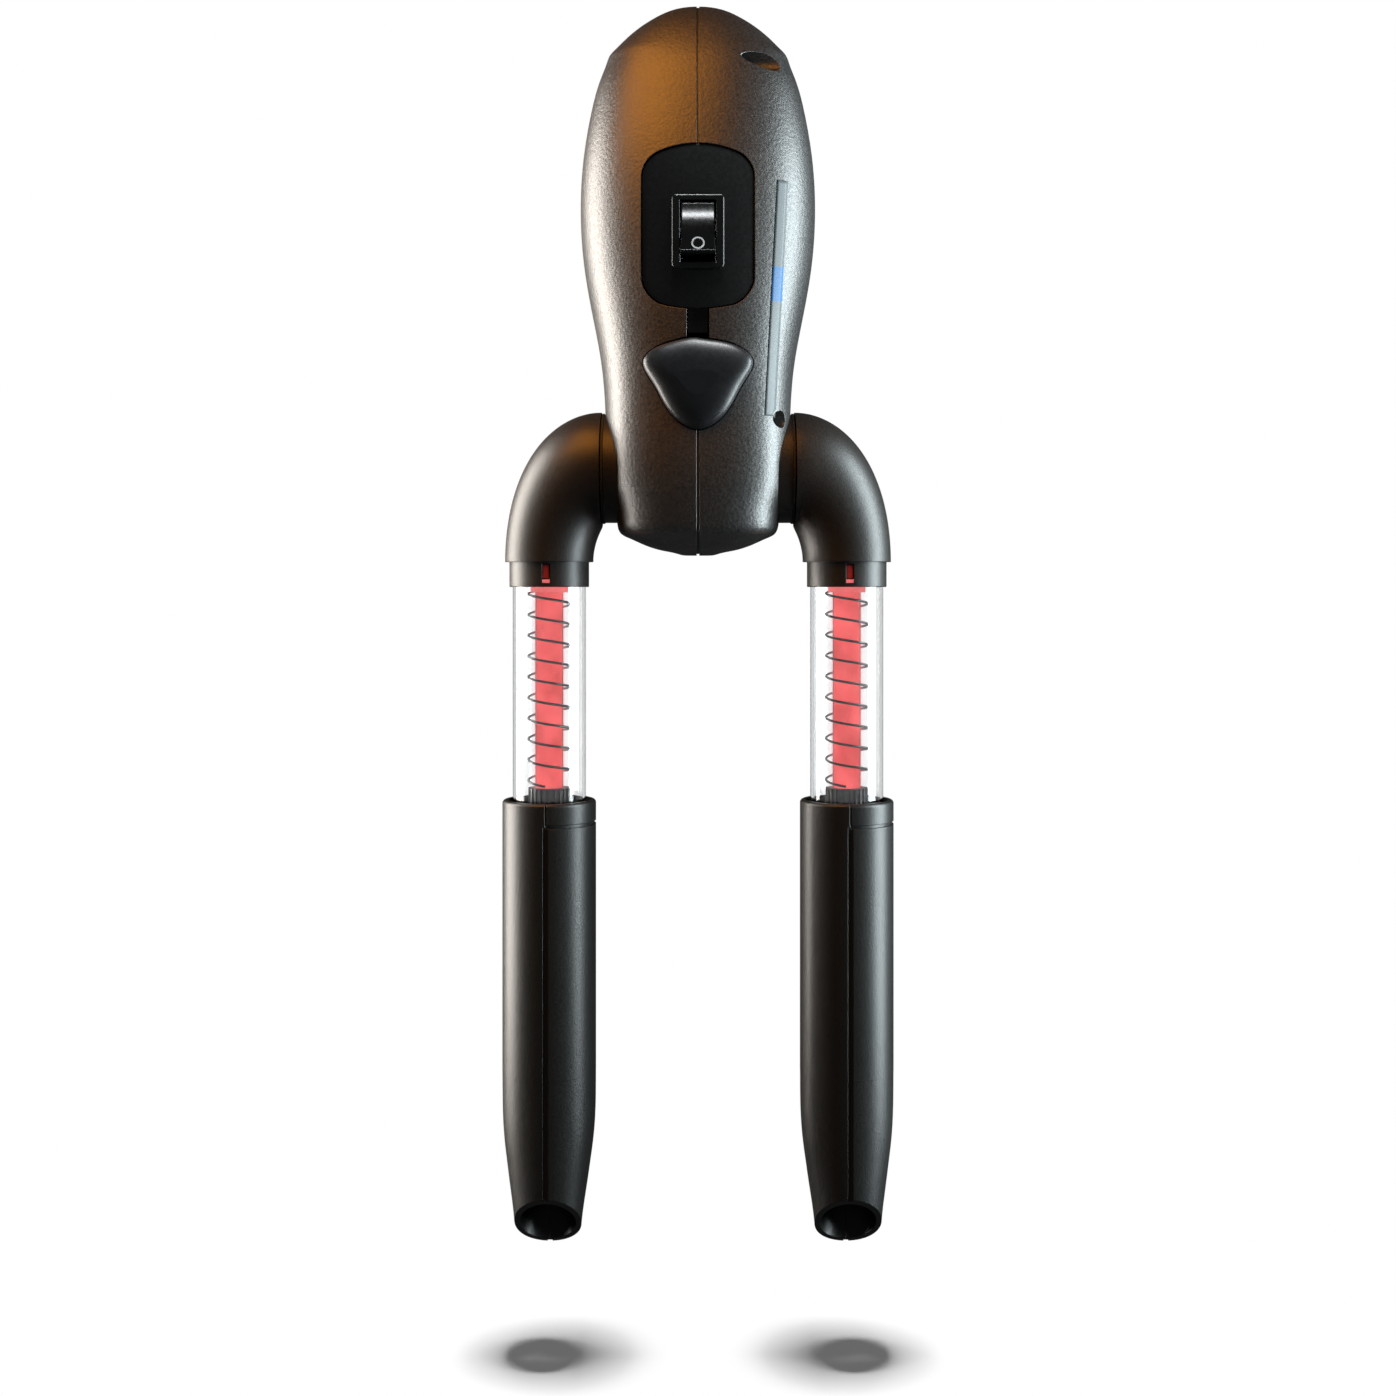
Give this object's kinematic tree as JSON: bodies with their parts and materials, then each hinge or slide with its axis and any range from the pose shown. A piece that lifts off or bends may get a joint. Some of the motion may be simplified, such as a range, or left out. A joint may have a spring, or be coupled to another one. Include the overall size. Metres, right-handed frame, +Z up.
{
  "type": "boot dryer",
  "caption": "Pear-shaped warm-air blower with swivelling elbows, clear spiral hoses lit red inside, and long nozzles that slide up over the hoses.",
  "frame": {"origin": "where the elbows' swivel axis crosses the housing's middle plane", "axes": "+X to the right seen from the front, +Y to the rear, +Z up along the housing"},
  "size_m": [0.1172, 0.0527, 0.3709],
  "materials": {
    "housing_plastic": "fine spark-eroded grain",
    "panel_plastic": "satin",
    "button_plastic": "smooth satin",
    "rocker_plastic": "polished",
    "switch_plastic": "polished",
    "elbow_plastic": "fine matte",
    "nozzle_plastic": "fine matte",
    "clear_hose": "clear flexible vinyl",
    "spiral_wire": "black coated spring wire",
    "red_light_guide": "glowing red",
    "lamp_glass": "clear red",
    "black_inner_plastic": "plain moulded",
    "seal_rubber": "matte",
    "screw_steel": "zinc plated",
    "motor_steel": "drawn can",
    "heater_aluminium": "plain",
    "heater_frame_plastic": "heat-proof resin",
    "contact_brass": "plain",
    "board": "solder mask",
    "wire_insulation": "smooth"
  },
  "bodies": {
    "housing": {"left_housing_shell": "housing_plastic", "right_housing_shell": "housing_plastic", "housing_screws": "screw_steel", "control_panel": "panel_plastic", "button_microswitch": "black_inner_plastic", "microswitch_bracket": "motor_steel", "rocker_switch_case": "switch_plastic", "rocker_pivot_pin": "screw_steel", "switch_terminals": "contact_brass", "fan_frame": "black_inner_plastic", "fan_motor": "motor_steel", "heater_frame": "heater_frame_plastic", "ptc_heater": "heater_aluminium", "thermal_cutout": "motor_steel", "air_manifold": "heater_frame_plastic", "timer_circuit_board": "board", "relay": "black_inner_plastic", "capacitor": "black_inner_plastic", "timer_chip": "black_inner_plastic", "mains_inlet": "black_inner_plastic", "inlet_pins": "contact_brass", "left_hub_ring": "elbow_plastic", "right_hub_ring": "elbow_plastic", "left_swivel_seal": "seal_rubber", "right_swivel_seal": "seal_rubber", "wiring": "wire_insulation"},
    "rocker": {"rocker": "rocker_plastic"},
    "shield_button": {"shield_button": "button_plastic"},
    "impeller": {"impeller": "black_inner_plastic"},
    "left_elbow_arm": {"left_elbow": "elbow_plastic", "left_elbow_clip": "screw_steel", "left_hose_socket": "elbow_plastic", "left_hose_cuff": "black_inner_plastic", "left_lamp_holder": "black_inner_plastic", "left_lamp": "lamp_glass"},
    "left_hose_end": {"left_hose": "clear_hose", "left_hose_wire": "spiral_wire", "left_light_guide": "red_light_guide", "left_hose_end_bush": "black_inner_plastic", "left_guide_end_cap": "black_inner_plastic"},
    "left_nozzle": {"left_nozzle_left_shell": "nozzle_plastic", "left_nozzle_right_shell": "nozzle_plastic"},
    "right_elbow_arm": {"right_elbow": "elbow_plastic", "right_elbow_clip": "screw_steel", "right_hose_socket": "elbow_plastic", "right_hose_cuff": "black_inner_plastic", "right_lamp_holder": "black_inner_plastic", "right_lamp": "lamp_glass"},
    "right_hose_end": {"right_hose": "clear_hose", "right_hose_wire": "spiral_wire", "right_light_guide": "red_light_guide", "right_hose_end_bush": "black_inner_plastic", "right_guide_end_cap": "black_inner_plastic"},
    "right_nozzle": {"right_nozzle_left_shell": "nozzle_plastic", "right_nozzle_right_shell": "nozzle_plastic"}
  },
  "joints": [
    {"name": "power_rocker", "type": "hinge", "parent": "housing", "child": "rocker", "pos_m": [0, -0.0214, 0.066], "axis": [1, 0, 0], "range_deg": [0, 22]},
    {"name": "button_press", "type": "slide", "parent": "housing", "child": "shield_button", "axis": [0, 1, 0], "range_m": [0, 0.0012], "stiffness_N_per_m": 800},
    {"name": "impeller_spin", "type": "hinge", "parent": "housing", "child": "impeller", "pos_m": [0, 0, 0.046], "axis": [0, 0, 1], "continuous": true},
    {"name": "left_elbow_swivel", "type": "hinge", "parent": "housing", "child": "left_elbow_arm", "pos_m": [-0.0288, 0, 0], "axis": [1, 0, 0], "range_deg": [-90, 90]},
    {"name": "left_hose_flex", "type": "hinge", "parent": "left_elbow_arm", "child": "left_hose_end", "pos_m": [-0.0446, 0, -0.041], "axis": [1, 0, 0], "range_deg": [-20, 20], "stiffness_Nm_per_rad": 0.4, "deforming": ["left_hose", "left_hose_wire", "left_light_guide"]},
    {"name": "left_nozzle_slide", "type": "slide", "parent": "left_hose_end", "child": "left_nozzle", "axis": [0, 0, 1], "range_m": [0, 0.055]},
    {"name": "right_elbow_swivel", "type": "hinge", "parent": "housing", "child": "right_elbow_arm", "pos_m": [0.0288, 0, 0], "axis": [1, 0, 0], "range_deg": [-90, 90]},
    {"name": "right_hose_flex", "type": "hinge", "parent": "right_elbow_arm", "child": "right_hose_end", "pos_m": [0.0446, 0, -0.041], "axis": [1, 0, 0], "range_deg": [-20, 20], "stiffness_Nm_per_rad": 0.4, "deforming": ["right_hose", "right_hose_wire", "right_light_guide"]},
    {"name": "right_nozzle_slide", "type": "slide", "parent": "right_hose_end", "child": "right_nozzle", "axis": [0, 0, 1], "range_m": [0, 0.055]}
  ]
}
